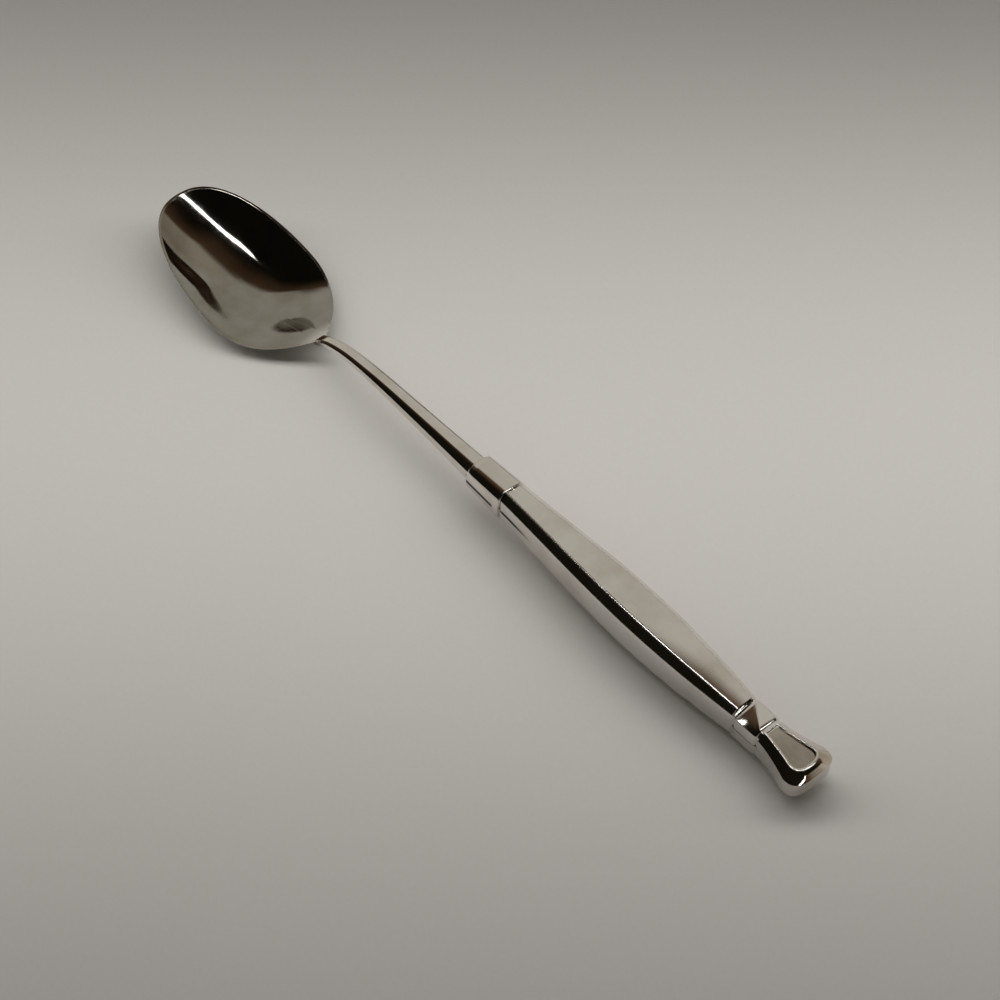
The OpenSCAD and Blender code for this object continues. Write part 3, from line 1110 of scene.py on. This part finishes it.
@dataclass
class HandleHalf:
    """One stamped half of the hollow handle: body, block and butt. Sizes are millimetres."""

    name: str
    node: str
    slot: str
    upper: bool

    # The butt's side wall at its front, its shoulder and its end, as shares of its flat's height.
    walls: Triple

    # How much farther in from the butt's end its top flat lies than its outer edge.
    end_slope: float

    # The sheet, the seam, where the open seam closes, and the lower side flat's share of the upper.
    sheet: float = 0.7
    gap: float = 0.1
    seam_edge: float = 0.12
    seam_close: Span = (14.0, 21.0)
    under: float = 0.9

    # The body and the spigot in the collar: width, flat, thickness and side of their sections.
    spigot: Sizes = (5.2, 2.6, 5.4, 2.7)
    spigot_span: Span = (1.5, 10.3)
    front: Sizes = (6.8, 3.4, 8.8, 6.0)
    rear: Sizes = (6.7, 4.02, 8.7, 6.0)
    fullest: Sizes = (10.4, 6.8, 10.8, 7.0)
    fullest_share: float = 0.57
    body_start: float = 10.8
    body_length: float = 67.2
    body_edge: float = 0.38
    plain_edge: float = 0.3
    stations: int = 72

    # The rounded ends of the body: their shift along the axis, and what its sizes lose there.
    front_round: tuple[float, Sizes] = (-0.3, (0.5, 0.3, 0.5, 0.4))
    rear_round: tuple[float, Sizes] = (0.18, (0.3, 0.2, 0.35, 0.2))

    # The block: width, flat and thickness, its side's share, and how far its facet slants.
    block_start: float = 78.8
    block_sizes: Triple = (6.7, 4.7, 8.7)
    block_side: float = 0.72
    block_edge: float = 0.22
    block_slant: float = 2.2
    block_rows: int = 8

    # Its ends: how far from the end a ring lies, the facet's share and how far it is sunk.
    groove: float = 0.35
    block_front: tuple[Triple, ...] = (
        (-0.4, 0.0, groove), (-0.2, 0.0, groove), (0.0, 0.0, 0.12), (0.2, 0.03, 0.0),
    )
    block_rear: tuple[Triple, ...] = (
        (-0.2, 0.97, 0.0), (0.0, 1.0, 0.12), (0.2, 1.0, groove), (1.4, 1.0, groove),
    )

    # The butt in plan. Pairs of widths are for its front and its shoulder.
    butt_start: float = 84.5
    butt_lead: float = 0.8
    end: float = 98.3
    butt_round: float = 3.8
    butt_widths: Span = (6.7, 11.2)
    flat_widths: Span = (3.8, 7.2)
    butt_flare: float = 1.4
    flat_lead: float = 0.9
    front_border: float = 0.55
    side_rows: int = 22
    end_rows: int = 36

    # Powers that shape its round end lengthwise and crosswise, at the edge and at the flat.
    end_lengthwise: Span = (0.66, 0.72)
    end_crosswise: Span = (0.6, 0.76)

    # Height of its flat at the front and at the shoulder, and the panel sunk in it.
    butt_heights: Span = (4.35, 4.2)
    panel_border: float = 0.5
    panel_slope: float = 0.2
    panel_depth: Span = (0.35, 0.6)
    panel_span: Span = (85.0, 95.0)
    panel_edge: float = 0.12
    panel_steps: int = 3

    # Its rounded upper edge: borders inside the flat, shares of the way in, drops, and how far down
    # the side wall the rounding has come, along the sides and round the end.
    lip_borders: Span = (0.16, 0.04)
    lip_shares: Span = (0.94, 0.6)
    lip_drops: Span = (0.03, 0.12)
    lip_fall: Span = (0.36, 0.75)

    @property
    def butt_front(self) -> float:
        """Place of the butt's front."""
        return self.butt_start + self.butt_lead

    @property
    def shoulder(self) -> float:
        """Place at which the butt's end begins to round."""
        return self.end - self.butt_round

    def body(self, u: float) -> Section:
        """A section of the body.

        Args:
            u: share of the body's length.

        Returns:
            The section.
        """
        bulge = math.sin(math.pi * u ** (math.log(0.5) / math.log(self.fullest_share)))
        ends = zip(self.front, self.rear, self.fullest)
        sizes = [mix(mix(front, rear, u), full, bulge) for front, rear, full in ends]
        x = self.body_start + u * self.body_length
        return Section(x, *sizes, edge=self.body_edge, under=self.under)

    def block(self, x: float, share: float, sunk: float = 0.0) -> Section:
        """A section of the block, or of a groove beside it.

        Args:
            x: its place.
            share: how far across the block's near facet has come.
            sunk: how far it lies below the block's faces.

        Returns:
            The section.
        """
        width, flat, thick = self.block_sizes
        return Section(
            x, width - 2 * sunk, flat - sunk, thick - 2 * sunk, thick * self.block_side - sunk,
            edge=self.block_edge, under=self.under,
            near=mix(-self.block_slant, self.block_slant, share) - sunk / 2,
        )

    def sections(self) -> list[Section]:
        """The spigot, the body, the block and the groove in front of the butt.

        Returns:
            The sections.
        """
        body = [self.body(i / self.stations) for i in range(self.stations + 1)]
        shares = [k / self.block_rows for k in range(1, self.block_rows)]
        start, end = self.block_start, self.butt_start
        return [
            *[
                Section(x, *self.spigot, edge=self.plain_edge, under=self.under)
                for x in self.spigot_span
            ],
            body[0].smaller(*self.front_round, self.plain_edge),
            *body,
            body[-1].smaller(*self.rear_round, self.plain_edge),
            *[self.block(start + x, share, sunk) for x, share, sunk in self.block_front],
            *[self.block(mix(start, end, share), share) for share in shares],
            *[self.block(end + x, share, sunk) for x, share, sunk in self.block_rear],
        ]

    def ring(self, s: Section) -> Ring:
        """The half's wall.

        Args:
            s: the section.

        Returns:
            The wall's outline, along the outside and back along the inside.
        """
        opened = 1 - ramp(s.x, *self.seam_close)
        outside = s.half(self.gap * opened, self.seam_edge * opened, self.upper)
        wall, gap = self.sheet, self.gap if self.upper else -self.gap
        line = s.smaller(0.0, (2 * wall, wall, 2 * wall, wall), s.edge).line(self.upper)
        w = s.width / 2 - wall
        inside = [Vector((s.x, a, b)) for a, b in [(-w, gap), *line, (w, gap)]]
        return outside + inside[::-1]

    def butt_plan(self, top: float, border: float = 0.0) -> Plan:
        """The butt's outline in plan.

        Args:
            top: 0 for the outer edge, 1 for the top flat's edge.
            border: how far the outline lies inside that.

        Returns:
            Points from the near front corner round the end and back.
        """
        front = self.butt_front + border * self.front_border
        turned = self.shoulder - self.flat_lead * top
        reach = self.end - self.end_slope * top - border

        def half(x: float) -> float:
            """Half the width at a place."""
            u = ramp(x, self.butt_front, self.shoulder) ** self.butt_flare
            return mix(mix(*self.butt_widths, u), mix(*self.flat_widths, u), top) / 2 - border

        side = [mix(front, turned, i / self.side_rows) for i in range(self.side_rows + 1)]
        points = [(x, -half(x)) for x in side]
        for i in range(1, self.end_rows):
            turn = math.pi * i / self.end_rows
            along = bent(math.sin(turn), mix(*self.end_lengthwise, top))
            across = bent(math.cos(turn), mix(*self.end_crosswise, top))
            points.append((mix(turned, reach, along), -half(turned) * across))
        points += [(x, half(x)) for x in reversed(side)]
        return points + [(front, half(front) * k) for k in (0.5, 0.0, -0.5)]

    def butt_top(self, x: float) -> float:
        """Height of the butt's flat."""
        return mix(*self.butt_heights, ramp(x, self.butt_front, self.shoulder))

    def butt_skin(self) -> Skin:
        """Draws the butt in layers of its outline, from the sunk panel over the edge to the seam.

        Returns:
            The butt's skin.
        """
        first_drop, drop = self.lip_drops

        def past(x: float) -> float:
            """How far round the end a place lies."""
            return ramp(x, self.shoulder, self.end) ** 2

        def wall(x: float) -> float:
            """The side wall, which shifts along the butt and round its end.

            Args:
                x: a place.

            Returns:
                The height there.
            """
            front, middle, rear = self.walls
            u = ramp(x, self.butt_start, self.shoulder)
            return self.butt_top(x) * mix(mix(front, middle, u), rear, past(x))

        def panel(x: float) -> float:
            """Height of the sunk panel."""
            return self.butt_top(x) - mix(*self.panel_depth, ramp(x, *self.panel_span))

        def turning(x: float) -> float:
            """Height of the upper edge's rounding, on its way to the side wall."""
            return mix(self.butt_top(x) - drop, wall(x), mix(*self.lip_fall, past(x)))

        layers: list[tuple[Plan, Callable[[float], float]]] = [
            (self.butt_plan(1.0, self.panel_border + self.panel_slope), panel),
            (self.butt_plan(1.0, self.panel_border), self.butt_top),
            (self.butt_plan(1.0, self.lip_borders[0]), self.butt_top),
            (self.butt_plan(1.0, self.lip_borders[1]), lambda x: self.butt_top(x) - first_drop),
            (self.butt_plan(self.lip_shares[0]), lambda x: self.butt_top(x) - drop),
            (self.butt_plan(self.lip_shares[1]), turning),
            (self.butt_plan(0.0), wall),
            (self.butt_plan(0.0), lambda x: 0.0),
        ]
        sign = 1.0 if self.upper else -1.0
        skin = Skin().rings([
            [Vector((x, y, sign * height(x))) for x, y in plan] for plan, height in layers
        ])
        count = len(layers[0][0])
        return skin.cap().soften([1], count, self.panel_edge, self.panel_steps)

    def build(self, *mats: Material) -> bpy.types.Object:
        """Makes the half and dresses it.

        Args:
            mats: the materials of its polished faces, its worn edges and its sunk panel.

        Returns:
            The half.
        """
        body = Skin().rings([self.ring(s) for s in self.sections()]).cap()
        skins = [body, self.butt_skin()]
        return dress(piece(self.name, skins, self.node, cut=32.0, worn=0.2), *mats)


@dataclass
class Joints:
    """The seam, the solder and the filler, whose shapes are the solids' own."""

    seam: str = "handle_seam_braze"
    solder: tuple[str, str] = ("mouth_solder", "ferrule_solder")
    filler: str = "handle_cement"

    def build(self) -> list[bpy.types.Object]:
        """Dresses the solids.

        Returns:
            The four pieces.
        """
        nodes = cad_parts
        solder = DullMetal(
            "soft_solder", light=(0.52, 0.5, 0.46), dark=(0.36, 0.34, 0.31),
            metallic=1.0, rough=0.35, scale=700.0,
        ).build()
        filler = DullMetal(
            "set_filler", light=(0.58, 0.54, 0.46), dark=(0.42, 0.38, 0.31),
            metallic=0.0, rough=0.75, scale=500.0,
        ).build()
        return [
            dress(nodes[self.seam], SeamMetal().build()),
            *[dress(nodes[name], solder) for name in self.solder],
            dress(nodes[self.filler], filler),
        ]


@dataclass(frozen=True)
class Lamp:
    """A soft oblong lamp that the camera doesn't see. Sizes are metres.

    Attributes:
        place, aim: where its middle hangs, and the place that it faces.
        along, sides: the direction of its length, and its length and width.
        power: its power in watts.
        mirrored: whether only mirrors show it, or it lights all that isn't a mirror.
    """

    name: str
    place: Vector
    aim: Vector
    along: Vector
    sides: Span
    power: float
    mirrored: bool

    def hang(self) -> None:
        """Hangs the lamp."""
        data = bpy.data.lights.new(self.name, "AREA")
        data.shape, data.energy = "RECTANGLE", self.power
        data.size, data.size_y = self.sides
        obj = bpy.data.objects.new(self.name, data)
        back = (self.place - self.aim).normalized()
        side = (self.along - back * self.along.dot(back)).normalized()
        turn_to(obj, (side, back.cross(side), back), self.place)
        obj.visible_camera = False
        obj.visible_glossy = self.mirrored
        obj.visible_diffuse = not self.mirrored
        bpy.context.scene.collection.objects.link(obj)


@dataclass
class Studio:
    """Camera, table, lamps and the room that the metal mirrors."""

    # The camera: angles in degrees, and its distance, target, lens and film in millimetres.
    azimuth: float = -48.17
    elevation: float = 50.82
    roll: float = 0.52
    distance: float = 583.9
    target: Span = (5.01, 2.99)
    lens: float = 100.8
    film: float = 36.0
    clip: Span = (0.01, 20.0)

    # The table: half its side in metres, and its paper's tones and roughness.
    table_half: float = 3.0
    paper: tuple[Triple, Triple] = ((0.66, 0.63, 0.585), (0.70, 0.67, 0.625))
    paper_rough: float = 0.75

    # The border between the dark part of the room and the pale one, as stops from left to right.
    border: tuple[Span, ...] = (
        (0.0, 0.34), (0.2, 0.14), (0.31, 0.46), (0.4, 0.63),
        (0.5, 0.7), (0.6, 0.78), (0.72, 1.1), (1.0, 1.2),
    )
    border_back: float = 0.2
    border_fade: Span = (-0.09, 0.07)

    # The room's tones, and the directions between which each gives way to the next.
    night: Triple = (0.007, 0.006, 0.004)
    brown: Triple = (0.085, 0.05, 0.028)
    brown_fade: Span = (-0.55, -0.02)
    wall: Triple = (0.30, 0.26, 0.20)
    ceiling: Triple = (0.42, 0.38, 0.31)
    ceiling_fade: Span = (0.15, 0.85)
    left_pale: Triple = (0.47, 0.45, 0.40)
    left_fade: Span = (-0.3, 0.1)
    backdrop: Triple = (0.42, 0.39, 0.36)
    fill: Triple = (0.06, 0.057, 0.053)

    # The tube that the metal mirrors, and the key that lights the table, in metres and watts.
    tube_start: Triple = (-0.13, -0.106, 0.465)
    tube_end: Triple = (0.683, 0.4245, 0.465)
    tube_width: float = 0.03
    tube_power: float = 1.0
    key_place: Triple = (-0.025, 0.037, 0.17)
    key_aim: Triple = (0.022, -0.015, 0.0)
    key_along: Triple = (0.667, 0.745, 0.0)
    key_sides: Span = (1.2, 0.075)
    key_power: float = 0.98

    def camera(self) -> None:
        """The camera, at the photograph's place."""
        data = bpy.data.cameras.new("camera")
        data.lens, data.sensor_width = self.lens, self.film
        data.clip_start, data.clip_end = self.clip
        obj = bpy.data.objects.new("camera", data)
        bpy.context.scene.collection.objects.link(obj)
        a, e = math.radians(self.azimuth), math.radians(self.elevation)
        ahead = Vector((math.sin(a) * math.cos(e), math.cos(a) * math.cos(e), -math.sin(e)))
        level = Vector((math.cos(a), -math.sin(a), 0.0))
        upright = level.cross(ahead)
        c, s = math.cos(math.radians(self.roll)), math.sin(math.radians(self.roll))
        right, above = level * c + upright * s, upright * c - level * s
        place = Vector((*self.target, 0.0)) - ahead * self.distance
        turn_to(obj, (right, above, -ahead), [v * MM for v in place])
        bpy.context.scene.camera = obj

    def table(self) -> None:
        """The pale table."""
        bm = bmesh.new()
        bmesh.ops.create_grid(bm, x_segments=2, y_segments=2, size=self.table_half)
        mesh = bpy.data.meshes.new("table")
        bm.to_mesh(mesh)
        bm.free()
        obj = bpy.data.objects.new("table", mesh)
        bpy.context.scene.collection.objects.link(obj)
        mat, p = new_paint("table_paper")
        fibre = p.noise(p.place(), scale=900.0, detail=4.0, rough=0.6)
        p.coat({"Base Color": p.blend(fibre, *self.paper), "Roughness": self.paper_rough})
        dress(obj, mat)

    def room(self) -> None:
        """The world: a warm pale room beyond the spoon and a dark one behind the camera."""
        world = bpy.data.worlds.new("room")
        world.use_nodes = True
        bpy.context.scene.world = world
        p = Paint(world.node_tree)
        x, y, z = p.parts(p.node("ShaderNodeTexCoord", {}, {}, "Generated"))
        border = p.node("ShaderNodeValToRGB", {"stops": self.border}, {0: x * 0.5 + 0.5})
        past = y - (border - self.border_back)
        dark = p.blend(past.step(*self.brown_fade), self.night, self.brown)
        far = p.blend(z.step(*self.ceiling_fade), self.wall, self.ceiling)
        pale = p.blend(x.step(*self.left_fade), self.left_pale, far)
        tone = p.blend(past.step(*self.border_fade), dark, pale)
        glossy = p.node("ShaderNodeLightPath", {}, {}, "Is Glossy Ray")
        seen = p.node("ShaderNodeLightPath", {}, {}, "Is Camera Ray")
        tone = p.blend(seen, p.blend(glossy, self.fill, tone), self.backdrop)
        shader = p.node("ShaderNodeBackground", {}, {"Color": tone, "Strength": 1.0})
        p.surface(shader, "ShaderNodeOutputWorld")

    def lamps(self) -> tuple[Lamp, Lamp]:
        """The lamps.

        Returns:
            The tube and the key.
        """
        start, end = Vector(self.tube_start), Vector(self.tube_end)
        middle, run = (start + end) / 2, end - start
        below = Vector((middle.x, middle.y, 0.0))
        sides = (run.length, self.tube_width)
        tube = Lamp("tube", middle, below, run, sides, self.tube_power, True)
        place, aim, along = Vector(self.key_place), Vector(self.key_aim), Vector(self.key_along)
        key = Lamp("soft_key", place, aim, along, self.key_sides, self.key_power, False)
        return tube, key

    def build(self) -> None:
        """Sets up everything round the spoon."""
        self.camera()
        self.table()
        self.room()
        for lamp in self.lamps():
            lamp.hang()
        bpy.context.scene.view_settings.view_transform = "Standard"


def main() -> None:
    """Builds the studio and the spoon, and reports each piece."""
    logging.basicConfig(level=logging.INFO, format="%(name)s: %(message)s")
    Studio().build()
    metal = PolishedMetal("polished_silver").build()
    worn = PolishedMetal(
        "worn_edges", gloss=0.24, smear=0.05, scratches=0.0, relief=0.0
    ).build()
    sunk = PolishedMetal(
        "sunk_panel_metal", colour=(0.6, 0.57, 0.52), tarnish=(0.45, 0.41, 0.35)
    ).build()
    top = HandleHalf(
        "handle_top_half", "handle_upper_shell", "upper_shell", True,
        walls=(0.66, 0.62, 0.8), end_slope=2.0,
    )
    under = HandleHalf(
        "handle_under_half", "handle_lower_shell", "lower_shell", False,
        walls=(0.5, 0.3, 0.06), end_slope=4.0,
    )
    made = [Bowl().build(metal, worn), Collar().build(metal, worn)]
    made += [half.build(metal, worn, sunk) for half in (top, under)]
    for obj in made + Joints().build():
        log.info("%s: %d faces", obj.name, len(obj.data.polygons))


if __name__ == "__main__":
    main()
